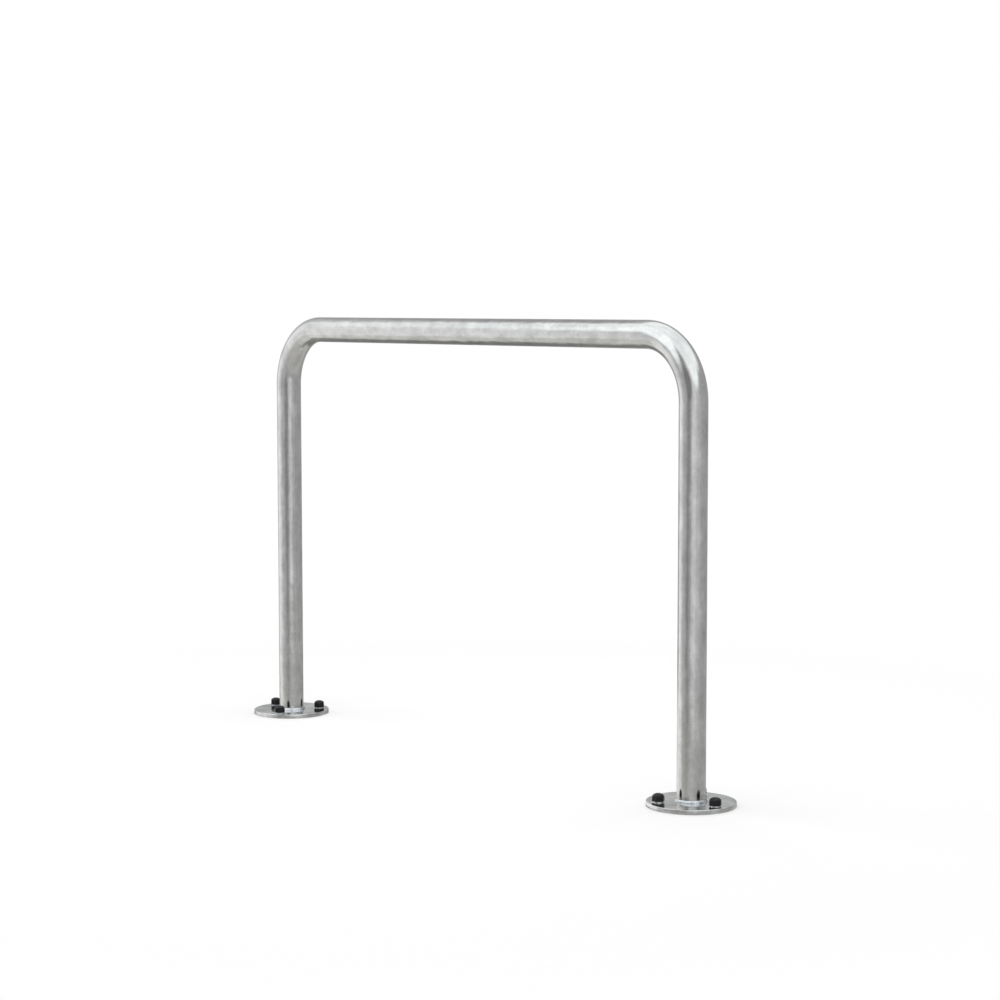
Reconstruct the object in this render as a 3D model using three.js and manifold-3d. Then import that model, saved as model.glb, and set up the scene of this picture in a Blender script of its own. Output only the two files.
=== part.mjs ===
import * as THREE from 'three';
import { mergeVertices } from 'three/addons/utils/BufferGeometryUtils.js';
import Module from 'manifold-3d';

const wasm = await Module();
wasm.setup();

// A hoop bike rack: one bent steel tube, welded to two round base plates that are bolted to the ground.
// Sizes are in millimetres. +Z is up, +X runs from the left post to the right post, and the origin is on
// the ground midway between the posts.

// Hoop
const HOOP_WIDTH = 1200; // over the outer sides of the posts
const HOOP_HEIGHT = 800; // from the ground to the top of the rail
const TUBE_DIAMETER = 48.3;
const TUBE_WALL = 3.2;
const BEND_RADIUS = 110; // to the middle of the tube

// Base plates
const PLATE_THICKNESS = 8;
const PLATE_EDGE_CHAMFER = 0.8;
const DRAIN_DIAMETER = 20; // lets zinc and water run out of the post
const BOLT_TO_TUBE = 31.85; // from the middle of a bolt to the side of the tube
const BOLT_TO_PLATE_EDGE = 19;
const BOLTS_PER_PLATE = 3;

// Foot welds
const WELD_HEIGHT = 4.5; // up the tube's side
const WELD_REACH = 3; // out over the plate
const WELD_CROWN = 0.5; // how far the bead bulges past a straight line between its toes
const WELD_GAP = 0.3; // between the bead and the tube's side

// Anchor studs
const STUD_DIAMETER = 10;
const STUD_TIP_CHAMFER = 0.8;
const STUD_PAST_NUT = 2.5;
const STUD_HOLE_GAP = 1; // all round the stud, in the plate

// How far each nut was turned when it was tightened, in degrees, in the order of the bolts
const NUT_TURNS = { left: [27, 21, 33], right: [8, 40, 4] };

// Washers
const WASHER_THICKNESS = 1.6;
const WASHER_EDGE_CHAMFER = 0.3;
const WASHER_PAST_NUT = 1; // from the nut's flats to the washer's rim
const WASHER_BORE_GAP = 0.25;

// Nuts
const NUT_WALL = 3; // from the stud's side to a flat
const NUT_HEIGHT = 8.4;
const NUT_CORNER_CHAMFER = 1; // how deep the rounded corners reach down each face
const NUT_BORE_GAP = 0.2;

// Nut caps
const CAP_WALL = 1.3;
const CAP_CROWN = 2; // over the tip of the stud
const CAP_GAP = 0.3; // round the nut, and round and over the stud's tip
const CAP_SKIRT_HEIGHT = 5; // from the washer to where the corners start to round over
const CAP_TOP_DIAMETER = 6; // the flat in the middle of the dome

// Fineness of round shapes
const TUBE_SIDES = 40;
const BEND_STEPS = 12;
const PLATE_SIDES = 72;
const HOLE_SIDES = 20;
const STUD_SIDES = 16;
const WASHER_SIDES = 32;
const CAP_SIDES = 24;
const DOME_STEPS = 4;
const OVERRUN = 1; // how far a cutting solid runs past the face it cuts

// Places that follow from the sizes above
const TUBE_RADIUS = TUBE_DIAMETER / 2;
const POST_X = HOOP_WIDTH / 2 - TUBE_RADIUS;
const RAIL_Z = HOOP_HEIGHT - TUBE_RADIUS;
const FOOT_Z = PLATE_THICKNESS;
const BEND_X = POST_X - BEND_RADIUS;
const BEND_Z = RAIL_Z - BEND_RADIUS;
const BOLT_CIRCLE_RADIUS = TUBE_RADIUS + BOLT_TO_TUBE;
const PLATE_RADIUS = BOLT_CIRCLE_RADIUS + BOLT_TO_PLATE_EDGE;
const STUD_RADIUS = STUD_DIAMETER / 2;
const NUT_FLAT_RADIUS = STUD_RADIUS + NUT_WALL;
const WASHER_RADIUS = NUT_FLAT_RADIUS + WASHER_PAST_NUT;
const NUT_Z = PLATE_THICKNESS + WASHER_THICKNESS;
const STUD_TOP_Z = NUT_Z + NUT_HEIGHT + STUD_PAST_NUT;
const CAP_CAVITY_FLAT_RADIUS = NUT_FLAT_RADIUS + CAP_GAP;
const CAP_FLAT_RADIUS = CAP_CAVITY_FLAT_RADIUS + CAP_WALL;
const CAP_HEIGHT = NUT_HEIGHT + STUD_PAST_NUT + CAP_GAP + CAP_CROWN;

const HEX_SIDES = 6;
const cornerRadius = (flatRadius) => flatRadius / Math.cos(Math.PI / HEX_SIDES);

const galvanised = () => new THREE.MeshStandardMaterial({ color: 0xb4b6b7, metalness: 1, roughness: 0.32 });
const zincPlated = () => new THREE.MeshStandardMaterial({ color: 0xc2c5c6, metalness: 1, roughness: 0.28 });
const blackPlastic = () => new THREE.MeshStandardMaterial({ color: 0x17181a, metalness: 0, roughness: 0.42 });

// Corners of a regular polygon round the origin
function polygon(radius, sides) {
  const corners = [];
  for (let side = 0; side < sides; side += 1) {
    const angle = (side / sides) * 2 * Math.PI;
    corners.push(new THREE.Vector2(radius * Math.cos(angle), radius * Math.sin(angle)));
  }
  return corners;
}

// A straight prism on a regular polygon, from one height to another
function prism(radius, sides, bottom, top) {
  const outline = new THREE.Shape(polygon(radius, sides));
  const geometry = new THREE.ExtrudeGeometry(outline, { depth: top - bottom, bevelEnabled: false });
  return geometry.translate(0, 0, bottom);
}

// A turned shape about +Z. The profile's points are [radius, height], with the outside going up.
function turned(profile, sides) {
  const points = profile.map(([radius, height]) => new THREE.Vector2(radius, height));
  return new THREE.LatheGeometry(points, sides).rotateX(Math.PI / 2);
}

// Closed geometry as a solid that can be joined and cut
function solid(geometry) {
  geometry.deleteAttribute('normal');
  geometry.deleteAttribute('uv');
  const merged = mergeVertices(geometry);
  return new wasm.Manifold(new wasm.Mesh({
    numProp: 3,
    vertProperties: new Float32Array(merged.attributes.position.array),
    triVerts: new Uint32Array(merged.index.array),
  }));
}

// A solid back as geometry
function geometryOf(manifold) {
  const mesh = manifold.getMesh();
  const geometry = new THREE.BufferGeometry();
  geometry.setAttribute('position', new THREE.BufferAttribute(mesh.vertProperties, mesh.numProp));
  geometry.setIndex(new THREE.BufferAttribute(mesh.triVerts, 1));
  geometry.computeVertexNormals();
  return geometry;
}

// A quarter circle in the hoop's plane, from one compass angle to another, in radians above +X
class Bend extends THREE.Curve {
  constructor(centre, startAngle, endAngle) {
    super();
    this.centre = centre;
    this.startAngle = startAngle;
    this.endAngle = endAngle;
  }

  getPoint(share, target = new THREE.Vector3()) {
    const angle = THREE.MathUtils.lerp(this.startAngle, this.endAngle, share);
    target.set(Math.cos(angle), 0, Math.sin(angle));
    return target.multiplyScalar(BEND_RADIUS).add(this.centre);
  }
}

// Curves end to end, each passed in its own number of even steps
class SteppedLine extends THREE.Curve {
  constructor(stretches) {
    super();
    this.stretches = stretches;
    this.steps = stretches.reduce((sum, stretch) => sum + stretch.steps, 0);
  }

  place(share) {
    let step = share * this.steps;
    for (const stretch of this.stretches) {
      if (step <= stretch.steps) return [stretch.curve, step / stretch.steps];
      step -= stretch.steps;
    }
    return [this.stretches.at(-1).curve, 1];
  }

  getPoint(share, target) {
    const [curve, along] = this.place(share);
    return curve.getPoint(along, target);
  }

  getTangent(share, target) {
    const [curve, along] = this.place(share);
    return curve.getTangent(along, target);
  }

  getUtoTmapping(share) {
    return share;
  }
}

// The middle of the tube, from the left foot over the rail to the right foot
function hoopLine() {
  const leftFoot = new THREE.Vector3(-POST_X, 0, FOOT_Z);
  const leftShoulder = new THREE.Vector3(-POST_X, 0, BEND_Z);
  const railStart = new THREE.Vector3(-BEND_X, 0, RAIL_Z);
  const railEnd = new THREE.Vector3(BEND_X, 0, RAIL_Z);
  const rightShoulder = new THREE.Vector3(POST_X, 0, BEND_Z);
  const rightFoot = new THREE.Vector3(POST_X, 0, FOOT_Z);
  const leftCentre = new THREE.Vector3(-BEND_X, 0, BEND_Z);
  const rightCentre = new THREE.Vector3(BEND_X, 0, BEND_Z);
  return new SteppedLine([
    { steps: 1, curve: new THREE.LineCurve3(leftFoot, leftShoulder) },
    { steps: BEND_STEPS, curve: new Bend(leftCentre, Math.PI, Math.PI / 2) },
    { steps: 1, curve: new THREE.LineCurve3(railStart, railEnd) },
    { steps: BEND_STEPS, curve: new Bend(rightCentre, Math.PI / 2, 0) },
    { steps: 1, curve: new THREE.LineCurve3(rightShoulder, rightFoot) },
  ]);
}

// One length of tube, open at both feet
function hoopTube() {
  const section = new THREE.Shape(polygon(TUBE_RADIUS, TUBE_SIDES));
  section.holes.push(new THREE.Path(polygon(TUBE_RADIUS - TUBE_WALL, TUBE_SIDES)));
  const line = hoopLine();
  return new THREE.ExtrudeGeometry(section, { steps: line.steps, extrudePath: line });
}

// Where the bolts stand round a post, with the first one out along the hoop
function boltPlaces(side) {
  const places = [];
  for (let bolt = 0; bolt < BOLTS_PER_PLATE; bolt += 1) {
    const angle = (bolt / BOLTS_PER_PLATE) * 2 * Math.PI;
    places.push([side * BOLT_CIRCLE_RADIUS * Math.cos(angle), BOLT_CIRCLE_RADIUS * Math.sin(angle)]);
  }
  return places;
}

// A disc with chamfered rims, a drain hole under the tube and a clearance hole for each bolt
function basePlate(side) {
  const innerRadius = PLATE_RADIUS - PLATE_EDGE_CHAMFER;
  const disc = solid(turned([
    [0, 0],
    [innerRadius, 0],
    [PLATE_RADIUS, PLATE_EDGE_CHAMFER],
    [PLATE_RADIUS, PLATE_THICKNESS - PLATE_EDGE_CHAMFER],
    [innerRadius, PLATE_THICKNESS],
    [0, PLATE_THICKNESS],
  ], PLATE_SIDES));
  const drill = (radius) => solid(prism(radius, HOLE_SIDES, -OVERRUN, PLATE_THICKNESS + OVERRUN));
  const boltDrill = drill(STUD_RADIUS + STUD_HOLE_GAP);
  let plate = disc.subtract(drill(DRAIN_DIAMETER / 2));
  for (const [x, y] of boltPlaces(side)) {
    plate = plate.subtract(boltDrill.translate(x, y, 0));
  }
  return geometryOf(plate);
}

// The bead round the foot of the tube: two legs and a slightly bulging face
function footWeld() {
  const inner = TUBE_RADIUS + WELD_GAP;
  const face = Math.hypot(WELD_REACH, WELD_HEIGHT);
  const crownOut = (WELD_CROWN * WELD_HEIGHT) / face;
  const crownUp = (WELD_CROWN * WELD_REACH) / face;
  return turned([
    [inner, 0],
    [inner + WELD_REACH, 0],
    [inner + WELD_REACH / 2 + crownOut, WELD_HEIGHT / 2 + crownUp],
    [inner, WELD_HEIGHT],
    [inner, 0],
  ], TUBE_SIDES);
}

// A stud that ends flush with the underside of the plate
function anchorStud() {
  return turned([
    [0, 0],
    [STUD_RADIUS, 0],
    [STUD_RADIUS, STUD_TOP_Z - STUD_TIP_CHAMFER],
    [STUD_RADIUS - STUD_TIP_CHAMFER, STUD_TOP_Z],
    [0, STUD_TOP_Z],
  ], STUD_SIDES);
}

function washer() {
  const bore = STUD_RADIUS + WASHER_BORE_GAP;
  return turned([
    [bore, 0],
    [WASHER_RADIUS, 0],
    [WASHER_RADIUS, WASHER_THICKNESS - WASHER_EDGE_CHAMFER],
    [WASHER_RADIUS - WASHER_EDGE_CHAMFER, WASHER_THICKNESS],
    [bore, WASHER_THICKNESS],
    [bore, 0],
  ], WASHER_SIDES);
}

// A hexagon whose corners are rounded off towards both faces
function hexNut() {
  const corner = cornerRadius(NUT_FLAT_RADIUS);
  const hexagon = solid(prism(corner, HEX_SIDES, 0, NUT_HEIGHT));
  const turnedCorners = solid(turned([
    [0, 0],
    [NUT_FLAT_RADIUS, 0],
    [corner, NUT_CORNER_CHAMFER],
    [corner, NUT_HEIGHT - NUT_CORNER_CHAMFER],
    [NUT_FLAT_RADIUS, NUT_HEIGHT],
    [0, NUT_HEIGHT],
  ], CAP_SIDES));
  const bore = solid(prism(STUD_RADIUS + NUT_BORE_GAP, STUD_SIDES, -OVERRUN, NUT_HEIGHT + OVERRUN));
  return geometryOf(hexagon.intersect(turnedCorners).subtract(bore));
}

// A hexagonal skirt that rounds over into a dome, hollow for the nut and the tip of the stud
function nutCap() {
  const corner = cornerRadius(CAP_FLAT_RADIUS);
  const topRadius = CAP_TOP_DIAMETER / 2;
  const dome = [[0, 0], [corner, 0]];
  for (let step = 0; step <= DOME_STEPS; step += 1) {
    const angle = (step / DOME_STEPS) * Math.PI / 2;
    const radius = topRadius + (corner - topRadius) * Math.cos(angle);
    dome.push([radius, CAP_SKIRT_HEIGHT + (CAP_HEIGHT - CAP_SKIRT_HEIGHT) * Math.sin(angle)]);
  }
  dome.push([0, CAP_HEIGHT]);
  const outside = solid(prism(corner, HEX_SIDES, 0, CAP_HEIGHT)).intersect(solid(turned(dome, CAP_SIDES)));
  const cavityCorner = cornerRadius(CAP_CAVITY_FLAT_RADIUS);
  const nutSpace = solid(prism(cavityCorner, HEX_SIDES, -OVERRUN, NUT_HEIGHT + CAP_GAP));
  const tipSpace = solid(prism(STUD_RADIUS + CAP_GAP, STUD_SIDES, 0, CAP_HEIGHT - CAP_CROWN));
  return geometryOf(outside.subtract(nutSpace).subtract(tipSpace));
}

function piece(name, geometry, material, x, y, z) {
  const mesh = new THREE.Mesh(geometry, material);
  mesh.name = name;
  mesh.position.set(x, y, z);
  return mesh;
}

// A stud with what is stacked on it, from the plate's underside up
function anchor(label, x, y, turn) {
  const group = new THREE.Group();
  group.position.set(x, y, 0);
  group.rotation.z = THREE.MathUtils.degToRad(turn);
  group.add(
    piece(`anchor_stud_${label}`, anchorStud(), zincPlated(), 0, 0, 0),
    piece(`washer_${label}`, washer(), zincPlated(), 0, 0, PLATE_THICKNESS),
    piece(`hex_nut_${label}`, hexNut(), zincPlated(), 0, 0, NUT_Z),
    piece(`nut_cap_${label}`, nutCap(), blackPlastic(), 0, 0, NUT_Z),
  );
  return group;
}

// A base plate with its weld and its three anchors. The side is -1 on the left and 1 on the right.
function foot(name, side) {
  const group = new THREE.Group();
  group.position.set(side * POST_X, 0, 0);
  group.add(
    piece(`base_plate_${name}`, basePlate(side), galvanised(), 0, 0, 0),
    piece(`foot_weld_${name}`, footWeld(), galvanised(), 0, 0, FOOT_Z),
  );
  const turns = NUT_TURNS[name];
  boltPlaces(side).forEach(([x, y], index) => {
    group.add(anchor(`${name}_${index + 1}`, x, y, turns[index % turns.length]));
  });
  return group;
}

const rack = new THREE.Group();
rack.name = 'hoop_bike_rack';
rack.add(piece('hoop_tube', hoopTube(), galvanised(), 0, 0, 0), foot('left', -1), foot('right', 1));

export default rack;
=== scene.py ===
"""The looks of a hoop bike rack: a bent galvanised tube on two bolted base plates, in a plain studio.

It is laid out as a Blender add-on and run as a script. All sizes are in metres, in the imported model's frame:
+X runs from the left post to the right post, +Z is up, and the origin is on the ground between the posts.
"""

import math

import bmesh
import bpy
from bpy.props import FloatProperty, FloatVectorProperty, IntProperty, PointerProperty
from mathutils import Matrix, Vector


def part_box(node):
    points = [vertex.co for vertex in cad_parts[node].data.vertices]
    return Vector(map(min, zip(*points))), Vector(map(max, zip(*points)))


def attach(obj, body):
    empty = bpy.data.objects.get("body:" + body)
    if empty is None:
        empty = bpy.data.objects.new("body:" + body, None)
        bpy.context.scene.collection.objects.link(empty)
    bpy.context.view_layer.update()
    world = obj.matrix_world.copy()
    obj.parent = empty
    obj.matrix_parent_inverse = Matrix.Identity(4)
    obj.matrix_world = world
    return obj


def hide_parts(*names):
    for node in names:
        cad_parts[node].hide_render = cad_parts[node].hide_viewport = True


bl_info = {
    "name": "Hoop bike rack",
    "version": (1, 0, 0),
    "blender": (4, 5, 0),
    "location": "3D View > Sidebar > Bike rack",
    "description": "Builds the pieces of a galvanised hoop bike rack and the studio round it",
    "category": "Object",
}

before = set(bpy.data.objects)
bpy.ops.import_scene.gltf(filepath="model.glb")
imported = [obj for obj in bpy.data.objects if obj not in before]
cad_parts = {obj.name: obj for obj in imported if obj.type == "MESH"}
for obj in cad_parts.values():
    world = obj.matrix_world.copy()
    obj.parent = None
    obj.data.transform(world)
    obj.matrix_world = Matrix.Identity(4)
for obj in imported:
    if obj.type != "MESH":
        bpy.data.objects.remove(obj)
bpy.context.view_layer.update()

MM = 0.001
SIDES = ("left", "right")
BOLTS_PER_PLATE = 3
HEX_STEP = math.pi / 3
SHARP_ANGLE = math.radians(38)
# Faces below this slope, the rims and hole walls, take a darker copy of the plate zinc: painted shade for the
# dim floor that they mirror.
RIM_SLOPE = 0.5  # a plate's faces with a normal that rises less than this are its cut rims
POLE_RADIUS = 0.2 * MM  # the little flat that closes the middle of a dome
WELD_RIPPLE_LAG = 0.9  # how far a ripple trails in the bead's middle, where a whole ripple is 2 pi
THREAD_STEEPNESS = 1.15  # over 1, the root of the thread is a little flat

# How finely the round shapes are divided
TUBE_SIDES = 128
BEND_STEPS = 56
RIM_SIDES = 192
DRAIN_SIDES = 64
BOLT_HOLE_SIDES = 48
ROUNDING_STEPS = 4
WELD_FACE_STEPS = 10
STEPS_PER_RIPPLE = 8
RINGS_PER_THREAD = 8
STUD_SIDES = 40
WASHER_SIDES = 96
NUT_SIDES = 120
NUT_CHAMFER_STEPS = 6
CAP_SIDES = 120
CAP_HEM_STEPS = 3
CAP_SKIRT_STEPS = 3
CAP_DOME_STEPS = 18

# Widths of the patterns in the finishes. The grains are finer than a pixel of the main view, where they
# only soften the gloss, and show when someone looks closer.
DRAWN_LINE = 2.2 * MM
SPANGLE = 7 * MM
SPECK_SPACING = 14 * MM
MOTTLE = 9 * MM
ZINC_WAVE = 12 * MM
ZINC_GRAIN = 0.8 * MM
WELD_POOL = 7 * MM
WELD_LUMP = 3 * MM
PLATING_BLOTCH = 3 * MM
PLATING_GRAIN = 0.3 * MM
CAP_WEAR = 5 * MM
CAP_GRAIN = 0.35 * MM

# Heights of those that stand up from the surface
ZINC_WAVE_HEIGHT = 0.6 * MM
MOTTLE_HEIGHT = 0.12 * MM
DRAWN_LINE_HEIGHT = 0.004 * MM
ZINC_GRAIN_HEIGHT = 0.003 * MM
WELD_LUMP_HEIGHT = 0.3 * MM
PLATING_GRAIN_HEIGHT = 0.004 * MM
CAP_GRAIN_HEIGHT = 0.02 * MM

# The part of a pattern's values that is used
WHOLE_RANGE = (0, 1)
NOISE_RANGE = (0.3, 0.7)  # a noise texture keeps nearly all of its values between these
SPECK_EDGE = (0.05, 0.09)
POOL_EDGE = (0.36, 0.5)
WEAR_EDGE = (0.35, 0.75)

# What the two ends of that part multiply the colour by
LINE_SHADES = (0.95, 1.04)
CRYSTAL_SHADES = (0.96, 1.03)
SPECK_SHADES = (1.18, 1)
MOTTLE_SHADES = (0.94, 1.055)
POOL_SHADES = (0.62, 1)
FASTENER_SHADES = (0.9, 1.05)
WEAR_SHADES = (0.8, 1.7)

# Roughness at the two ends of that part, or all over
CLOUD_ROUGHNESS = (1.3, 0.75)  # times the mean roughness of the piece
CRYSTAL_ROUGHNESS = (-0.03, 0.03)  # added to it
MOTTLE_ROUGHNESS = (0.02, -0.02)  # added to it
WELD_ROUGHNESS = 0.28
PLATING_ROUGHNESS = (0.16, 0.3)
CAP_ROUGHNESS = (0.3, 0.42)
CAP_IOR = 1.5
CAP_SPECULAR = 0.3

# Where the zinc differs between the tube and the plates. A stretch is a scale along each axis, so a small
# number draws the pattern out.
TUBE_COAT = {
    "stretch": (1, 1, 0.45), "line_stretch": (1, 1, 0.02),
    "cloud_width": 22 * MM, "cloud_shades": (0.83, 1.12),
}
PLATE_COAT = {
    "stretch": (1, 1, 1), "line_stretch": (1, 0.04, 1),
    "cloud_width": 40 * MM, "cloud_shades": (0.66, 1.2),
}

TUBE_LOW, TUBE_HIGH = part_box("hoop_tube")
PLATE_LOW, PLATE_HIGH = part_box("base_plate_right")
WASHER_LOW, WASHER_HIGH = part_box("washer_right_1")
NUT_LOW, NUT_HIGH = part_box("hex_nut_right_1")
STUD_LOW, STUD_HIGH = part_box("anchor_stud_right_1")
CAP_LOW, CAP_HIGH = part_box("nut_cap_right_1")
WELD_LOW, WELD_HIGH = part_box("foot_weld_right")

# The photograph's view, from the right front and a little above the rail. The turns are in radians.
CAMERA_PLACE = Vector((3.28995, -2.68117, 0.8295))
CAMERA_LENS = 84.03
CAMERA_SENSOR = 36
CAMERA_TURN = 0.8743  # to the left, from looking along +Y
CAMERA_TILT = 0.0846  # down
CAMERA_ROLL = -0.0009

FLOOR_HALF = 9.0
FLOOR_LIFT = 0.145  # brings the lit floor up to white
FLOOR_FADE = (0.85, 1.7)  # how far from the rack's middle the floor starts to fade, and has faded
SOFTBOX_AIM = Vector((0, 0, 0.3))
OVERHEAD_PLACE = Vector((0.2, 0.1, 2.9))
OVERHEAD_SIZE = (5.0, 4.0)
LEFT_PLACE = Vector((-2.6, -1.7, 2.1))
LEFT_SIZE = (2.2, 1.8)

# The tent round the rack. Bearings are degrees from +X, heights are degrees above the horizon, both seen
# from the tent's middle, and a grey of 1 is white.
TENT_RADIUS = 3.15
TENT_GORES = 96
TENT_RINGS = 48
TENT_MIDDLE = Vector((0, 0, 0.75))
TENT_WALL = {
    -180: 0.8, -165: 1.32, -142: 1.18, -118: 0.75, -98: 0.62, -74: 0.38, -56: 0.58, -42: 0.94,
    -28: 1.0, -8: 0.78, 30: 0.56, 80: 0.52, 120: 0.5, 155: 0.48, 180: 0.8,
}
TENT_SKIRT = {
    -180: 0.68, -165: 1.32, -142: 1.12, -122: 0.78, -95: 0.6, -70: 0.52, -45: 0.6, 0: 0.6,
    90: 0.58, 125: 0.42, 160: 0.34, 180: 0.68,
}
SKIRT_TOP = -16
SKIRT_FULL = -25
NO_TINT = (1, 1, 1)
SKIRT_TINT = (1, 0.98, 0.955)
LAMP_TINT = (1, 1.02, 1.03)
# Bearing, height, how far from there the patch starts and is full, in degrees, its grey and its tint
TENT_PATCHES = (
    (0, -90, 66, 48, 0.7, SKIRT_TINT),  # the ground
    (-154, -40, 21, 8, 0.88, SKIRT_TINT),  # a paler stretch of the ground on the left
    (-63, 12, 21, 8, 0.3, NO_TINT),  # a dark flag beside the front lamp
    (160, -34, 22, 9, 0.28, SKIRT_TINT),  # a dark flag low on the far left, for the rail's bottom line
    (27, 77, 55, 40, 1.52, LAMP_TINT),  # the lamp overhead
    (-147, 43, 28, 16, 1.42, LAMP_TINT),  # the lamp on the left
    (-112, 38, 32, 21, 1.7, LAMP_TINT),  # the lamp in front
    (-12, 35, 30, 16, 1.58, LAMP_TINT),  # the lamp on the right
)

# A low card round the left side of the right foot, where the metal mirrors the lit floor close by. Its
# bearing is seen from that post, and the degrees are how far from there it starts and is full.
CARD_DISTANCE = 0.3
CARD_BOTTOM = -0.06  # metal near the ground mirrors it below the floor
CARD_TOP = 0.2
CARD_FADE = 0.08  # the height at which it starts to fade out
CARD_BEARING = -165
CARD_START = 45
CARD_FULL = 12
CARD_GREY = 1.28
CARD_STEPS = 24


def linear(hex_colour):
    """An sRGB hex value as a linear colour with full opacity."""
    channels = [int(hex_colour[place:place + 2], 16) / 255 for place in (1, 3, 5)]
    bent = [c / 12.92 if c <= 0.04045 else ((c + 0.055) / 1.055) ** 2.4 for c in channels]
    return (*bent, 1.0)


def length_setting(name, default, description):
    """A length that a user can change."""
    return FloatProperty(name=name, description=description, default=default, unit="LENGTH")


def colour_setting(name, hex_colour, description):
    """A colour that a user can change."""
    return FloatVectorProperty(
        name=name, description=description, default=linear(hex_colour),
        subtype="COLOR", size=4, min=0, max=1,
    )


def post_middle(side):
    """Where a post stands on the ground."""
    low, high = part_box(f"base_plate_{side}")
    return Vector(((low.x + high.x) / 2, (low.y + high.y) / 2, 0))


def fastener_nodes(kind):
    """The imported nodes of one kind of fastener, three on each plate."""
    return [f"{kind}_{side}_{number + 1}" for side in SIDES for number in range(BOLTS_PER_PLATE)]


def seat_of(node):
    """The middle of a fastener's underside, and how far its farthest corner is turned from +X."""
    low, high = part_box(node)
    middle = Vector(((low.x + high.x) / 2, (low.y + high.y) / 2, low.z))
    corner = max(
        (vertex.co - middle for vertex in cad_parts[node].data.vertices),
        key=lambda place: place.xy.length,
    )
    return middle, math.atan2(corner.y, corner.x) % HEX_STEP


def reach_of(node):
    """How far a fastener reaches from its own axis."""
    middle, _ = seat_of(node)
    return max((vertex.co - middle).xy.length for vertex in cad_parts[node].data.vertices)


class RackSizes(bpy.types.PropertyGroup):
    """Sizes of the pieces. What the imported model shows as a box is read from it."""

    tube_radius: length_setting("Tube radius", (TUBE_HIGH.y - TUBE_LOW.y) / 2, "To the outside of the tube")
    tube_wall: length_setting("Tube wall", 3.2 * MM, "Thickness of the tube's steel")
    bend_radius: length_setting("Bend radius", 110 * MM, "To the middle of the tube")
    plate_radius: length_setting(
        "Plate radius", (PLATE_HIGH.x - PLATE_LOW.x) / 2, "To the rim of a base plate",
    )
    plate_thickness: length_setting(
        "Plate thickness", PLATE_HIGH.z - PLATE_LOW.z, "Thickness of a base plate",
    )
    plate_rounding: length_setting("Plate rounding", 0.8 * MM, "Radius of the dulled edges of a plate")
    bolt_hole_radius: length_setting("Bolt hole radius", 6 * MM, "Radius of a bolt's hole in the plate")
    drain_radius: length_setting("Drain radius", 10 * MM, "Radius of the drain hole under a post")
    weld_height: length_setting(
        "Weld height", WELD_HIGH.z - WELD_LOW.z, "How far the weld reaches up the tube",
    )
    weld_radius: length_setting(
        "Weld radius", (WELD_HIGH.x - WELD_LOW.x) / 2, "To the weld's toe on the plate",
    )
    weld_gap: length_setting("Weld gap", 0.3 * MM, "Between the weld and the tube's side")
    weld_crown: length_setting(
        "Weld crown", 0.5 * MM, "How far the bead bulges past a straight line between its toes",
    )
    weld_ripple: length_setting("Weld ripple", 0.3 * MM, "Depth of the ripples along the bead")
    weld_ripple_length: length_setting(
        "Weld ripple length", 2.4 * MM, "From one ripple of the bead to the next",
    )
    thread_pitch: length_setting("Thread pitch", 1.5 * MM, "Rise of the stud's thread in one turn")
    thread_depth: length_setting("Thread depth", 0.85 * MM, "From the thread's crest to its root")
    stud_chamfer: length_setting("Stud chamfer", 0.8 * MM, "Chamfer at the tip of the stud")
    washer_bore_gap: length_setting("Washer bore gap", 0.25 * MM, "Between the stud and the washer")
    washer_rounding: length_setting("Washer rounding", 0.3 * MM, "Radius of the washer's edges")
    nut_bore_gap: length_setting("Nut bore gap", 0.2 * MM, "Between the stud and the nut")
    nut_chamfer: length_setting(
        "Nut chamfer", 1 * MM, "How deep the rounded corners reach down each face of the nut",
    )
    nut_face_inset: length_setting(
        "Nut face inset", 0.2 * MM, "From a flat in to the round edge of the nut's top and bottom",
    )
    nut_corner: length_setting("Nut corner", 0.15 * MM, "Radius of the nut's upright corners")
    nut_countersink: length_setting(
        "Nut countersink", 0.8 * MM, "Depth and width of the countersink round the nut's bore",
    )
    cap_wall: length_setting("Cap wall", 1.3 * MM, "Thickness of the cap's plastic")
    cap_gap: length_setting("Cap gap", 0.3 * MM, "Between the cap and the nut and stud in it")
    cap_skirt: length_setting("Cap skirt", 5 * MM, "Height at which the cap's corners start to round over")
    cap_top_radius: length_setting("Cap top radius", 2 * MM, "Radius of the nearly flat top of the cap")
    cap_corner: length_setting("Cap corner", 1.1 * MM, "Radius of the cap's upright corners")
    cap_hem: length_setting("Cap hem", 0.35 * MM, "Radius of the rounded lower edge of the cap")
    cap_blend: length_setting("Cap blend", 0.5 * MM, "Length over which the cap's flats turn into its dome")
    cap_room_corner: length_setting(
        "Cap room corner", 0.3 * MM, "Radius of the corners of the room for the nut",
    )
    cap_crown: length_setting("Cap crown", 2 * MM, "Plastic over the tip of the stud")


class RackFinish(bpy.types.PropertyGroup):
    """Colours and gloss of the finishes."""

    tube_zinc: colour_setting("Tube zinc", "#c2c3c2", "Zinc coat of the hoop")
    plate_zinc: colour_setting("Plate zinc", "#e6e8e8", "Zinc coat on the flats of the base plates")
    # Painted shade: a darker copy of the plate zinc for the rims and hole walls, in place of the dim floor
    # that they mirror.
    rim_zinc_painted_shade: colour_setting(
        "Rim zinc", "#c8caca", "Zinc painted darker as shade on the cut rims and holes of the base plates",
    )
    weld_zinc: colour_setting("Weld zinc", "#bbbfc3", "Zinc over the foot welds")
    fastener_zinc: colour_setting(
        "Fastener zinc", "#c9cdd0", "Bright zinc plating of studs, washers and nuts",
    )
    cap_plastic: colour_setting("Cap plastic", "#0b0b0c", "Black plastic of the nut caps")
    tube_roughness: FloatProperty(
        name="Tube roughness", description="Mean roughness of the hoop", default=0.145, min=0, max=1,
    )
    plate_roughness: FloatProperty(
        name="Plate roughness", description="Mean roughness of the plates", default=0.12, min=0, max=1,
    )
    seed: IntProperty(
        name="Seed", description="Seed of the small differences between fasteners", default=7, min=0,
    )


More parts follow.
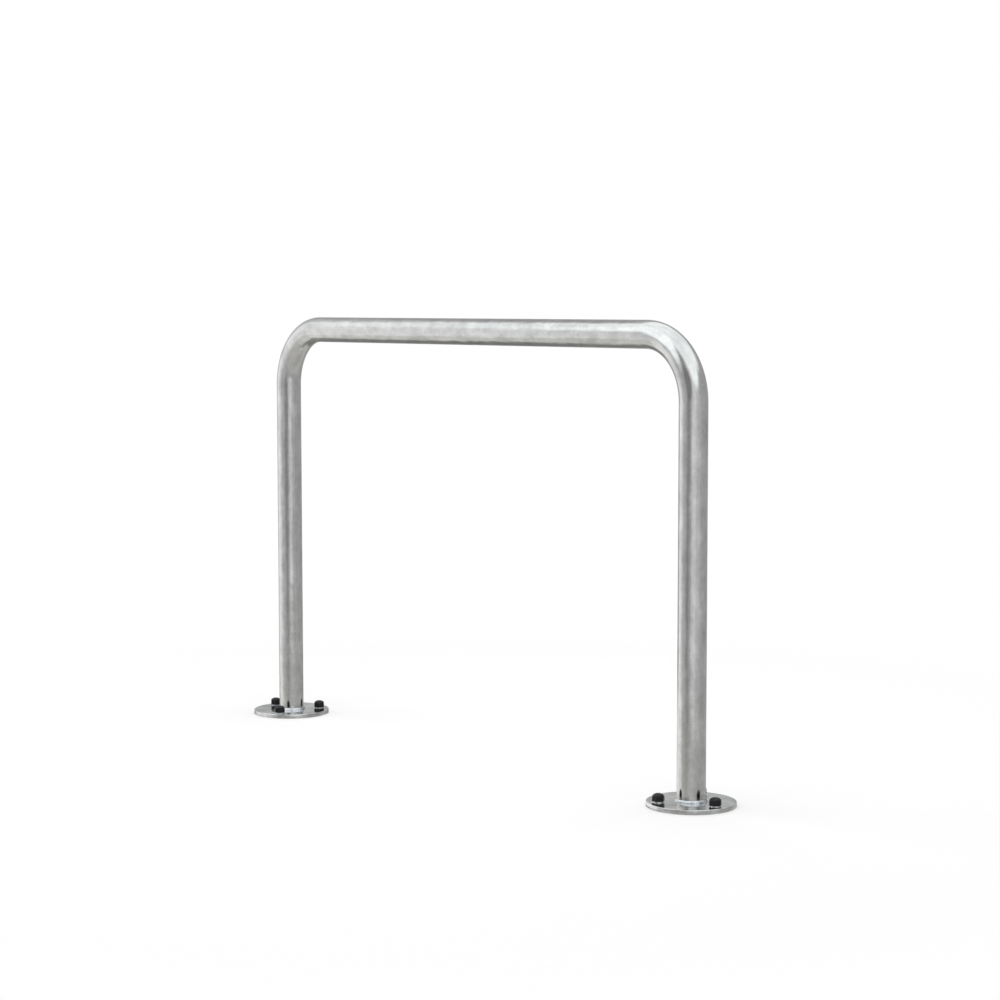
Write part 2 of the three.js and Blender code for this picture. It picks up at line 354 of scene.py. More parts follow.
class RackStudio(bpy.types.PropertyGroup):
    """The light and the floor."""

    floor_colour: colour_setting("Floor", "#e8e8e8", "Colour of the studio floor")
    fill_level: FloatProperty(
        name="Fill level", description="Even light from all round, on matt surfaces", default=0.55, min=0,
    )
    overhead_level: FloatProperty(
        name="Overhead level", description="Brightness of the overhead softbox, where 1 is white",
        default=1.2, min=0,
    )
    side_level: FloatProperty(
        name="Side level", description="Brightness of the softbox on the left, where 1 is white",
        default=1.2, min=0,
    )


def add_node(tree, kind, inputs=None, **settings):
    """Adds a node with its settings. An input takes a value, a socket, or a node for its first output."""
    made = tree.nodes.new(kind)
    for name, value in settings.items():
        setattr(made, name, value)
    for name, value in (inputs or {}).items():
        if isinstance(name, int):
            socket = made.inputs[name]
        else:
            socket = next(s for s in made.inputs if s.enabled and name in (s.name, s.identifier))
        if isinstance(value, bpy.types.Node):
            value = next(s for s in value.outputs if s.enabled)
        if isinstance(value, bpy.types.NodeSocket):
            tree.links.new(value, socket)
        else:
            socket.default_value = value
    return made


def new_material(name):
    """An empty node material and its tree."""
    material = bpy.data.materials.new(name)
    material.use_nodes = True
    material.node_tree.nodes.clear()
    return material, material.node_tree


def new_tree(name, **sockets):
    """An empty geometry tree with named inputs, each given with its socket type."""
    tree = bpy.data.node_groups.new(name, "GeometryNodeTree")
    for label, kind in sockets.items():
        tree.interface.new_socket(label.replace("_", " "), in_out="INPUT", socket_type=kind)
    tree.interface.new_socket("Result", in_out="OUTPUT", socket_type="NodeSocketGeometry")
    return tree, tree.nodes.new("NodeGroupInput").outputs


def run_tree(piece, tree, values):
    """Puts a geometry tree on a piece and sets its named inputs."""
    modifier = piece.modifiers.new(tree.name, "NODES")
    modifier.node_group = tree
    for item in tree.interface.items_tree:
        if item.item_type == "SOCKET" and item.in_out == "INPUT" and item.name in values:
            modifier[item.identifier] = values[item.name]


def new_piece(name, mesh):
    """An object of that mesh, in the scene."""
    piece = bpy.data.objects.new(name, mesh)
    bpy.context.scene.collection.objects.link(piece)
    return piece


def make_plain(piece):
    """Turns a piece with its modifiers into a plain mesh, without them."""
    graph = bpy.context.evaluated_depsgraph_get()
    mesh = bpy.data.meshes.new_from_object(
        piece.evaluated_get(graph), preserve_all_data_layers=True, depsgraph=graph,
    )
    if not mesh.polygons:
        raise RuntimeError(f"{piece.name} came out with no faces")
    piece.modifiers.clear()
    piece.data = mesh
    mesh.name = piece.name


def dress(piece, nodes):
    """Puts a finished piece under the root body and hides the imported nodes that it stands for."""
    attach(piece, "root")
    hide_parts(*nodes)


def as_mesh(build, name):
    """Turns a bmesh into a mesh."""
    mesh = bpy.data.meshes.new(name)
    build.to_mesh(mesh)
    build.free()
    return mesh


def closed_mesh(build, name):
    """The mesh of a closed bmesh, smooth but for its sharp edges, with its faces pointing out."""
    bmesh.ops.recalc_face_normals(build, faces=build.faces)
    if any(not edge.is_manifold for edge in build.edges):
        raise RuntimeError(f"{name} isn't closed")
    mesh = as_mesh(build, name)
    mesh.shade_smooth()
    mesh.set_sharp_from_angle(angle=SHARP_ANGLE)
    return mesh


def bridge(build, rings):
    """Faces between each closed ring of vertices and the next."""
    for lower, upper in zip(rings, rings[1:]):
        for place in range(len(lower)):
            onward = (place + 1) % len(lower)
            build.faces.new((lower[place], lower[onward], upper[onward], upper[place]))


def rings_round(build, reach, levels, count):
    """Rings of vertices round +Z. reach(angle, level) gives a point's radius and height at each level."""
    rings = []
    for level in levels:
        ring = []
        for step in range(count):
            angle = step / count * math.tau
            radius, height = reach(angle, level)
            ring.append(build.verts.new((radius * math.cos(angle), radius * math.sin(angle), height)))
        rings.append(ring)
    return rings


def ringed_mesh(name, reach, levels, count, closed=False):
    """A shape of rings round +Z, its first and last capped, or joined where it's closed on itself."""
    build = bmesh.new()
    rings = rings_round(build, reach, levels, count)
    if closed:
        rings.append(rings[0])
    bridge(build, rings)
    if not closed:
        build.faces.new(rings[0][::-1])
        build.faces.new(rings[-1])
    return closed_mesh(build, name)


def hexagon_reach(angle, flat, rounding):
    """How far a hexagon with rounded corners reaches at an angle, with a corner on +X."""
    from_corner = abs((angle + HEX_STEP / 2) % HEX_STEP - HEX_STEP / 2)
    centre = (flat - rounding) / math.cos(HEX_STEP / 2)
    arc_end = math.atan2(
        rounding * math.sin(HEX_STEP / 2),
        centre + rounding * math.cos(HEX_STEP / 2),
    )
    if from_corner < arc_end:
        aside = centre * math.sin(from_corner)
        return centre * math.cos(from_corner) + math.sqrt(rounding ** 2 - aside ** 2)
    return flat / math.cos(HEX_STEP / 2 - from_corner)


def soft_least(first, second, blend):
    """The lesser of two lengths, with a soft turn where they cross."""
    share = max(blend - abs(first - second), 0) / blend
    return min(first, second) - share * share * blend / 4


def rounded_edges(radius, outward, thickness, rounding):
    """Radius and height down a round wall with dulled edges, with a flat hem at the top and bottom."""
    hem = radius - outward * 2 * rounding
    quarter = [step / ROUNDING_STEPS * math.pi / 2 for step in range(ROUNDING_STEPS + 1)]
    shoulder = [
        (radius - outward * rounding * (1 - math.sin(turn)), rounding * (1 - math.cos(turn)))
        for turn in quarter
    ]
    top = [(out, thickness - down) for out, down in shoulder]
    return [(hem, thickness), *top, *shoulder[::-1], (hem, 0)]


def coat(tree, colour, shades, roughness, bumps, values):
    """Ends a material in one shader, from its colour, its patterns and the shader's other values.

    The shades multiply the colour, and the layers of roughness add up. Each is a pattern, the part of its
    values that is used, and what the two ends of that part turn into. The bumps are patterns with their
    heights, each laid over the one before.
    """
    totals = []
    for layers, operation in ((shades, "MULTIPLY"), (roughness, "ADD")):
        total = None
        for pattern, (low, high), (first, last) in layers:
            layer = add_node(tree, "ShaderNodeMapRange", {
                "Value": pattern, "From Min": low, "From Max": high, "To Min": first, "To Max": last,
            })
            if total is not None:
                layer = add_node(tree, "ShaderNodeMath", {0: total, 1: layer}, operation=operation)
            total = layer
        totals.append(total)
    tone = add_node(tree, "ShaderNodeMix", {
        "Factor_Float": 1.0, "A_Color": colour, "B_Color": totals[0],
    }, data_type="RGBA", blend_type="MULTIPLY")
    inputs = {"Base Color": tone, **values}
    if roughness:
        inputs["Roughness"] = totals[1]
    below = {}
    for pattern, height in bumps:
        bump = add_node(tree, "ShaderNodeBump", {
            "Height": pattern, "Strength": 1.0, "Distance": height, **below,
        })
        below = {"Normal": bump}
    shader = add_node(tree, "ShaderNodeBsdfPrincipled", {**inputs, **below})
    add_node(tree, "ShaderNodeOutputMaterial", {"Surface": shader})


def galvanised(name, colour, roughness, coordinates, stretch, line_stretch, cloud_width, cloud_shades):
    """Hot-dip galvanised steel: dipped in molten zinc, which froze into a soft grey mirror.

    The eye sees faint cloudy patches, fine lines from the drawing of the tube, a flat spangle of crystals
    some millimetres wide, and a few bright specks. The surface waves a little, so reflections wander.
    """
    material, tree = new_material(name)
    place = coordinates(tree)
    stretched = add_node(tree, "ShaderNodeMapping", {"Vector": place, "Scale": stretch})
    drawn_out = add_node(tree, "ShaderNodeMapping", {"Vector": place, "Scale": line_stretch})
    clouds = add_node(tree, "ShaderNodeTexNoise", {
        "Vector": stretched, "Scale": 1 / cloud_width, "Detail": 3.0, "Roughness": 0.55,
    })
    lines = add_node(tree, "ShaderNodeTexNoise", {
        "Vector": drawn_out, "Scale": 1 / DRAWN_LINE, "Detail": 2.0, "Roughness": 0.6,
    })
    spangle = add_node(tree, "ShaderNodeTexVoronoi", {
        "Vector": stretched, "Scale": 1 / SPANGLE, "Randomness": 1.0,
    })
    crystal = add_node(tree, "ShaderNodeSeparateColor", {"Color": spangle.outputs["Color"]})
    specks = add_node(tree, "ShaderNodeTexVoronoi", {"Vector": place, "Scale": 1 / SPECK_SPACING})
    mottle = add_node(tree, "ShaderNodeTexNoise", {
        "Vector": place, "Scale": 1 / MOTTLE, "Detail": 3.0, "Roughness": 0.55,
    })
    waves = add_node(tree, "ShaderNodeTexNoise", {"Vector": stretched, "Scale": 1 / ZINC_WAVE, "Detail": 0.0})
    grain = add_node(tree, "ShaderNodeTexNoise", {"Vector": place, "Scale": 1 / ZINC_GRAIN, "Detail": 2.0})
    coat(
        tree, colour,
        shades=(
            (clouds, NOISE_RANGE, cloud_shades),
            (lines, NOISE_RANGE, LINE_SHADES),
            (crystal, WHOLE_RANGE, CRYSTAL_SHADES),
            (specks.outputs["Distance"], SPECK_EDGE, SPECK_SHADES),
            (mottle, NOISE_RANGE, MOTTLE_SHADES),
        ),
        roughness=(
            (clouds, NOISE_RANGE, [roughness * factor for factor in CLOUD_ROUGHNESS]),
            (crystal, WHOLE_RANGE, CRYSTAL_ROUGHNESS),
            (mottle, NOISE_RANGE, MOTTLE_ROUGHNESS),
        ),
        bumps=(
            (waves, ZINC_WAVE_HEIGHT),
            (mottle, MOTTLE_HEIGHT),
            (lines, DRAWN_LINE_HEIGHT),
            (grain, ZINC_GRAIN_HEIGHT),
        ),
        values={"Metallic": 1.0},
    )
    return material


def galvanised_weld(colour):
    """Zinc over a weld bead: it lies thicker and duller there, and pools between the ripples.

    The eye sees a bluish white, uneven ring with darker spots where the bead sinks in.
    """
    material, tree = new_material("galvanised_weld")
    place = object_coordinates(tree)
    pools = add_node(tree, "ShaderNodeTexNoise", {"Vector": place, "Scale": 1 / WELD_POOL, "Detail": 3.0})
    lumps = add_node(tree, "ShaderNodeTexNoise", {"Vector": place, "Scale": 1 / WELD_LUMP, "Detail": 2.0})
    coat(
        tree, colour,
        shades=((pools, POOL_EDGE, POOL_SHADES),),
        roughness=(),
        bumps=((lumps, WELD_LUMP_HEIGHT),),
        values={"Metallic": 1.0, "Roughness": WELD_ROUGHNESS},
    )
    return material


def unbent_coordinates(tree):
    """Place round the tube and along it, which follows the bends."""
    return add_node(tree, "ShaderNodeAttribute", attribute_name="unbent").outputs["Vector"]


def object_coordinates(tree):
    """Place in the rack's frame."""
    return add_node(tree, "ShaderNodeTexCoord").outputs["Object"]


def zinc_plated(colour):
    """Zinc-plated steel: a thin bright coat from a bath, bluish and even, over a turned surface.

    The eye sees a clean cool shine with a faint grain, and each fastener a shade off the next. Studs,
    washers and nuts share it.
    """
    shared = bpy.data.materials.get("bright_zinc")
    if shared:
        return shared
    material, tree = new_material("bright_zinc")
    place = object_coordinates(tree)
    blotches = add_node(tree, "ShaderNodeTexNoise", {
        "Vector": place, "Scale": 1 / PLATING_BLOTCH, "Detail": 3.0,
    })
    own = add_node(tree, "ShaderNodeAttribute", attribute_name="shade")
    grain = add_node(tree, "ShaderNodeTexNoise", {"Vector": place, "Scale": 1 / PLATING_GRAIN, "Detail": 1.0})
    coat(
        tree, colour,
        shades=((own.outputs["Fac"], WHOLE_RANGE, FASTENER_SHADES),),
        roughness=((blotches, NOISE_RANGE, PLATING_ROUGHNESS),),
        bumps=((grain, PLATING_GRAIN_HEIGHT),),
        values={"Metallic": 1.0},
    )
    return material


def black_plastic(colour):
    """Injection-moulded polyethylene, black: a soft satin skin with a fine even grain from the mould.

    The eye sees near black with broad dull highlights, and worn spots that are a little greyer.
    """
    material, tree = new_material("black_plastic")
    place = object_coordinates(tree)
    wear = add_node(tree, "ShaderNodeTexNoise", {"Vector": place, "Scale": 1 / CAP_WEAR, "Detail": 4.0})
    grain = add_node(tree, "ShaderNodeTexNoise", {"Vector": place, "Scale": 1 / CAP_GRAIN, "Detail": 2.0})
    coat(
        tree, colour,
        shades=((wear, WEAR_EDGE, WEAR_SHADES),),
        roughness=((wear, NOISE_RANGE, CAP_ROUGHNESS),),
        bumps=((grain, CAP_GRAIN_HEIGHT),),
        values={"IOR": CAP_IOR, "Specular IOR Level": CAP_SPECULAR},
    )
    return material


def bent_tube_tree():
    """A round tube along a line of four corners, with its inner two corners rounded."""
    tree, given = new_tree(
        "bent tube",
        Left_Foot="NodeSocketVector", Left_Corner="NodeSocketVector",
        Right_Corner="NodeSocketVector", Right_Foot="NodeSocketVector",
        Bend_Radius="NodeSocketFloat", Bend_Steps="NodeSocketInt",
        Tube_Radius="NodeSocketFloat", Tube_Sides="NodeSocketInt", Finish="NodeSocketMaterial",
    )
    corners = add_node(tree, "GeometryNodeCurvePrimitiveQuadrilateral", mode="POINTS")
    for number, label in enumerate(("Left Foot", "Left Corner", "Right Corner", "Right Foot")):
        tree.links.new(given[label], corners.inputs[f"Point {number + 1}"])
    line = add_node(tree, "GeometryNodeSetSplineCyclic", {"Geometry": corners, "Cyclic": False})
    bent = add_node(tree, "GeometryNodeFilletCurve", {
        "Curve": line, "Count": given["Bend Steps"], "Radius": given["Bend Radius"],
    }, mode="POLY")
    run = add_node(tree, "GeometryNodeSplineParameter")
    along = tree.nodes.new("GeometryNodeCaptureAttribute")
    along.capture_items.new("FLOAT", "Along")
    tree.links.new(bent.outputs["Curve"], along.inputs["Geometry"])
    tree.links.new(run.outputs["Length"], along.inputs["Along"])
    circle = add_node(tree, "GeometryNodeCurvePrimitiveCircle", {
        "Resolution": given["Tube Sides"], "Radius": given["Tube Radius"],
    })
    around = tree.nodes.new("GeometryNodeCaptureAttribute")
    around.capture_items.new("VECTOR", "Around")
    tree.links.new(circle.outputs["Curve"], around.inputs["Geometry"])
    spot = add_node(tree, "GeometryNodeInputPosition")
    tree.links.new(spot.outputs["Position"], around.inputs["Around"])
    skin = add_node(tree, "GeometryNodeCurveToMesh", {
        "Curve": along.outputs["Geometry"], "Profile Curve": around.outputs["Geometry"],
    })
    section = add_node(tree, "ShaderNodeSeparateXYZ", {"Vector": around.outputs["Around"]})
    unbent = add_node(tree, "ShaderNodeCombineXYZ", {
        "X": section.outputs["X"], "Y": section.outputs["Y"], "Z": along.outputs["Along"],
    })
    marked = add_node(tree, "GeometryNodeStoreNamedAttribute", {
        "Geometry": skin, "Name": "unbent", "Value": unbent,
    }, data_type="FLOAT_VECTOR", domain="POINT")
    smooth = add_node(tree, "GeometryNodeSetShadeSmooth", {"Geometry": marked})
    real = add_node(tree, "GeometryNodeRealizeInstances", {"Geometry": smooth})
    coated = add_node(tree, "GeometryNodeSetMaterial", {"Geometry": real, "Material": given["Finish"]})
    add_node(tree, "NodeGroupOutput", {"Result": coated})
    return tree


def bolted_tree():
    """One fastener on each bolt's place, turned as that place says, with a shade of its own."""
    tree, given = new_tree(
        "one on each bolt",
        Places="NodeSocketGeometry", Fastener="NodeSocketObject",
        Seed="NodeSocketInt", Finish="NodeSocketMaterial",
    )
    fastener = add_node(tree, "GeometryNodeObjectInfo", {"Object": given["Fastener"], "As Instance": True})
    turn = add_node(tree, "GeometryNodeInputNamedAttribute", {"Name": "turn"}, data_type="FLOAT")
    upright = add_node(tree, "ShaderNodeCombineXYZ", {"Z": turn.outputs["Attribute"]})
    set_out = add_node(tree, "GeometryNodeInstanceOnPoints", {
        "Points": given["Places"], "Instance": fastener.outputs["Geometry"], "Rotation": upright,
    })
    own = add_node(tree, "FunctionNodeRandomValue", {"Seed": given["Seed"]}, data_type="FLOAT")
    shaded = add_node(tree, "GeometryNodeStoreNamedAttribute", {
        "Geometry": set_out, "Name": "shade", "Value": own,
    }, data_type="FLOAT", domain="INSTANCE")
    real = add_node(tree, "GeometryNodeRealizeInstances", {"Geometry": shaded})
    coated = add_node(tree, "GeometryNodeSetMaterial", {"Geometry": real, "Material": given["Finish"]})
    add_node(tree, "NodeGroupOutput", {"Result": coated})
    return tree


def bolt_on(name, kind, shape, material, seed):
    """Puts one shape in the place of each packed fastener of a kind, as one piece."""
    nodes = fastener_nodes(kind)
    seats = [seat_of(node) for node in nodes]
    places = bpy.data.meshes.new(name)
    places.from_pydata([middle for middle, _ in seats], [], [])
    turns = places.attributes.new("turn", "FLOAT", "POINT")
    turns.data.foreach_set("value", [turn for _, turn in seats])
    pattern = new_piece(f"{name}_pattern", shape)
    piece = new_piece(name, places)
    run_tree(piece, bolted_tree(), {"Fastener": pattern, "Seed": seed, "Finish": material})
    make_plain(piece)
    bpy.data.objects.remove(pattern)
    dress(piece, nodes)


class RACK_OT_hoop_tube(bpy.types.Operator):
    """Bend the tube from foot to foot and give it its wall"""

    bl_idname = "rack.hoop_tube"
    bl_label = "Hoop tube"

    def execute(self, context):
        sizes = context.scene.rack_sizes
        finish = context.scene.rack_finish
        post_x = TUBE_HIGH.x - sizes.tube_radius
        rail_z = TUBE_HIGH.z - sizes.tube_radius
        piece = new_piece("bent_tube", bpy.data.meshes.new("bent_tube"))
        run_tree(piece, bent_tube_tree(), {
            "Left Foot": (-post_x, 0, TUBE_LOW.z),
            "Left Corner": (-post_x, 0, rail_z),
            "Right Corner": (post_x, 0, rail_z),
            "Right Foot": (post_x, 0, TUBE_LOW.z),
            "Bend Radius": sizes.bend_radius,
            "Bend Steps": BEND_STEPS,
            "Tube Radius": sizes.tube_radius,
            "Tube Sides": TUBE_SIDES,
            "Finish": galvanised(
                "galvanised_tube", finish.tube_zinc, finish.tube_roughness, unbent_coordinates, **TUBE_COAT,
            ),
        })
        wall = piece.modifiers.new("wall", "SOLIDIFY")
        wall.thickness = sizes.tube_wall
        wall.offset = -1
        make_plain(piece)
        piece.data.set_sharp_from_angle(angle=SHARP_ANGLE)
        dress(piece, ["hoop_tube"])
        return {"FINISHED"}


class RACK_OT_base_plates(bpy.types.Operator):
    """Cut the two round base plates with their drain and bolt holes"""

    bl_idname = "rack.base_plates"
    bl_label = "Base plates"

    def execute(self, context):
        sizes = context.scene.rack_sizes
        finish = context.scene.rack_finish
        flats, rims = (
            galvanised(name, zinc, finish.plate_roughness, object_coordinates, **PLATE_COAT)
            for name, zinc in (("galvanised_plate", finish.plate_zinc), ("galvanised_rim", finish.rim_zinc_painted_shade))
        )
        for side in SIDES:
            middle = post_middle(side)
            walls = [
                (middle, sizes.plate_radius, 1, RIM_SIDES),
                (middle, sizes.drain_radius, -1, DRAIN_SIDES),
            ]
            for number in range(BOLTS_PER_PLATE):
                bolt, _ = seat_of(f"anchor_stud_{side}_{number + 1}")
                walls.append((bolt, sizes.bolt_hole_radius, -1, BOLT_HOLE_SIDES))
            piece = new_piece(f"plate_{side}", self.plate(sizes, f"plate_{side}", walls))
            piece.data.materials.append(flats)
            piece.data.materials.append(rims)
            # The rims and hole walls take the darker zinc, which is painted shade.
            for face in piece.data.polygons:
                face.material_index = int(abs(face.normal.z) < RIM_SLOPE)
            dress(piece, [f"base_plate_{side}"])
        return {"FINISHED"}

    def plate(self, sizes, name, walls):
        """A flat plate between round walls.

        Each wall is a middle, a radius, 1 for a rim or -1 for a hole, and a number of sides.
        """
        build = bmesh.new()
        hems = {"top": [], "bottom": []}
        for middle, radius, outward, count in walls:
            rings = []
            for reach, height in rounded_edges(radius, outward, sizes.plate_thickness, sizes.plate_rounding):
                ring = []
                for step in range(count):
                    angle = step / count * 2 * math.pi
                    aside = Vector((math.cos(angle), math.sin(angle), 0)) * reach
                    ring.append(build.verts.new(Vector((middle.x, middle.y, height)) + aside))
                rings.append(ring)
            bridge(build, rings)
            hems["top"].append(rings[0])
            hems["bottom"].append(rings[-1])
        for rings in hems.values():
            edges = [
                build.edges.get((ring[place], ring[(place + 1) % len(ring)]))
                for ring in rings for place in range(len(ring))
            ]
            bmesh.ops.triangle_fill(build, use_beauty=True, use_dissolve=False, edges=edges)
        return closed_mesh(build, name)


class RACK_OT_foot_welds(bpy.types.Operator):
    """Lay the rippled weld bead round the foot of each post"""

    bl_idname = "rack.foot_welds"
    bl_label = "Foot welds"

    def execute(self, context):
        sizes = context.scene.rack_sizes
        finish = context.scene.rack_finish
        material = galvanised_weld(finish.weld_zinc)
        inner = sizes.tube_radius + sizes.weld_gap
        reach = sizes.weld_radius - inner
        face = math.hypot(reach, sizes.weld_height)
        ripples = round(2 * math.pi * sizes.weld_radius / sizes.weld_ripple_length)

        def bead(angle, level):
            """Radius and height, from the toe on the plate over the face to the toe on the tube and back."""
            if level > WELD_FACE_STEPS:
                return inner, 0
            share = level / WELD_FACE_STEPS
            swell = math.sin(share * math.pi)
            ripple = abs(math.sin((angle * ripples - swell * WELD_RIPPLE_LAG) / 2))
            out = sizes.weld_crown * swell - sizes.weld_ripple * swell * (1 - ripple)
            return (
                inner + reach * (1 - share) + out * sizes.weld_height / face,
                sizes.weld_height * share + out * reach / face,
            )

        levels = range(WELD_FACE_STEPS + 2)
        for side in SIDES:
            low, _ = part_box(f"foot_weld_{side}")
            mesh = ringed_mesh(f"weld_bead_{side}", bead, levels, ripples * STEPS_PER_RIPPLE, closed=True)
            mesh.transform(Matrix.Translation(post_middle(side) + Vector((0, 0, low.z))))
            piece = new_piece(f"weld_bead_{side}", mesh)
            piece.data.materials.append(material)
            dress(piece, [f"foot_weld_{side}"])
        return {"FINISHED"}


class RACK_OT_anchor_studs(bpy.types.Operator):
    """Set a threaded stud in each of the six bolt holes"""

    bl_idname = "rack.anchor_studs"
    bl_label = "Anchor studs"

    def execute(self, context):
        finish = context.scene.rack_finish
        shape = self.stud(context.scene.rack_sizes)
        material = zinc_plated(finish.fastener_zinc)
        bolt_on("anchor_studs", "anchor_stud", shape, material, finish.seed)
        return {"FINISHED"}

    def stud(self, sizes):
        """A threaded rod with a chamfered tip."""
        radius = reach_of("anchor_stud_right_1")
        length = STUD_HIGH.z - STUD_LOW.z
        rings = math.ceil(length / sizes.thread_pitch * RINGS_PER_THREAD)

        def thread(angle, level):
            height = level / rings * length
            phase = (height / sizes.thread_pitch - angle / (2 * math.pi)) % 1
            groove = sizes.thread_depth * min(abs(2 * phase - 1) * THREAD_STEEPNESS, 1)
            tip = radius - sizes.stud_chamfer + (length - height)
            return min(radius - groove, tip), height

        return ringed_mesh("stud", thread, range(rings + 1), STUD_SIDES)


class RACK_OT_washers(bpy.types.Operator):
    """Lay a flat washer over each bolt hole"""

    bl_idname = "rack.washers"
    bl_label = "Washers"

    def execute(self, context):
        finish = context.scene.rack_finish
        shape = self.washer(context.scene.rack_sizes)
        material = zinc_plated(finish.fastener_zinc)
        bolt_on("washers", "washer", shape, material, finish.seed + 1)
        return {"FINISHED"}

    def washer(self, sizes):
        """A flat washer with dulled edges."""
        outer = reach_of("washer_right_1")
        bore = reach_of("anchor_stud_right_1") + sizes.washer_bore_gap
        thickness = WASHER_HIGH.z - WASHER_LOW.z
        outside = rounded_edges(outer, 1, thickness, sizes.washer_rounding)
        inside = rounded_edges(bore, -1, thickness, sizes.washer_rounding / 2)
        profile = outside + inside[::-1]
        return ringed_mesh("washer", lambda _, point: point, profile, WASHER_SIDES, closed=True)


class RACK_OT_hex_nuts(bpy.types.Operator):
    """Screw a hexagon nut on each stud"""

    bl_idname = "rack.hex_nuts"
    bl_label = "Hex nuts"

    def execute(self, context):
        finish = context.scene.rack_finish
        shape = self.nut(context.scene.rack_sizes)
        material = zinc_plated(finish.fastener_zinc)
        bolt_on("hex_nuts", "hex_nut", shape, material, finish.seed + 2)
        return {"FINISHED"}

    def nut(self, sizes):
        """A hexagon with its corners turned down on both faces, and a countersunk bore."""
        corner = reach_of("hex_nut_right_1")
        flat = corner * math.cos(HEX_STEP / 2)
        bore = reach_of("anchor_stud_right_1") + sizes.nut_bore_gap
        height = NUT_HIGH.z - NUT_LOW.z
        face = flat - sizes.nut_face_inset
        sink = sizes.nut_countersink
        inside = [(bore + sink, height), (bore, height - sink), (bore, sink), (bore + sink, 0)]
        outer_rings = 2 * (NUT_CHAMFER_STEPS + 1)

        def hexagon(angle, level):
            if level >= outer_rings:
                return inside[level - outer_rings]
            share = min(level, outer_rings - 1 - level) / NUT_CHAMFER_STEPS
            depth = sizes.nut_chamfer * share
            limit = face + (corner - face) * math.sin(share * math.pi / 2)
            up = depth if level <= NUT_CHAMFER_STEPS else height - depth
            return min(hexagon_reach(angle, flat, sizes.nut_corner), limit), up

        return ringed_mesh("nut", hexagon, range(outer_rings + len(inside)), NUT_SIDES, closed=True)


class RACK_OT_nut_caps(bpy.types.Operator):
    """Press a hollow plastic cap over each nut"""

    bl_idname = "rack.nut_caps"
    bl_label = "Nut caps"

    def execute(self, context):
        finish = context.scene.rack_finish
        shape = self.cap(context.scene.rack_sizes)
        material = black_plastic(finish.cap_plastic)
        bolt_on("nut_caps", "nut_cap", shape, material, finish.seed + 3)
        return {"FINISHED"}

    def cap(self, sizes):
        """A hexagonal skirt that rounds over into a dome, hollow for the nut and the tip of the stud."""
        corner = reach_of("nut_cap_right_1")
        flat = corner * math.cos(HEX_STEP / 2)
        height = CAP_HIGH.z - CAP_LOW.z
        hem = sizes.cap_hem
        room_flat = flat - sizes.cap_wall
        room_top = NUT_HIGH.z - NUT_LOW.z + sizes.cap_gap
        tip_room = reach_of("anchor_stud_right_1") + sizes.cap_gap
        tip_top = height - sizes.cap_crown
        outside = [
            (part, step / steps)
            for part, steps in (("hem", CAP_HEM_STEPS), ("skirt", CAP_SKIRT_STEPS), ("dome", CAP_DOME_STEPS))
            for step in range(steps)
        ]
        outside.append(("pole", height))
        inside = [("pole", tip_top), ("tip", tip_top), ("tip", room_top), ("room", room_top), ("room", 0)]

        def shell(angle, level):
            """Radius and height in a part of the cap.

            A level is a height in the pole, tip and room, and a share of the way up the other parts.
            """
            part, place = level
            if part == "pole":
                return POLE_RADIUS, place
            if part == "tip":
                return tip_room, place
            if part == "room":
                return hexagon_reach(angle, room_flat, sizes.cap_room_corner), place
            hexagon = hexagon_reach(angle, flat, sizes.cap_corner)
            turn = place * math.pi / 2
            if part == "hem":
                return hexagon - hem * (1 - math.sin(turn)), hem * place
            if part == "skirt":
                return hexagon, hem + (sizes.cap_skirt - hem) * place
            round_reach = sizes.cap_top_radius + (corner - sizes.cap_top_radius) * math.cos(turn)
            up = sizes.cap_skirt + (height - sizes.cap_skirt) * math.sin(turn)
            return soft_least(hexagon, round_reach, sizes.cap_blend), up

        build = bmesh.new()
        rings = rings_round(build, shell, outside + inside, CAP_SIDES)
        top = len(outside)
        bridge(build, rings[:top])
        bridge(build, rings[top:] + [rings[0]])
        build.faces.new(rings[top - 1])
        build.faces.new(rings[top][::-1])
        return closed_mesh(build, "cap")


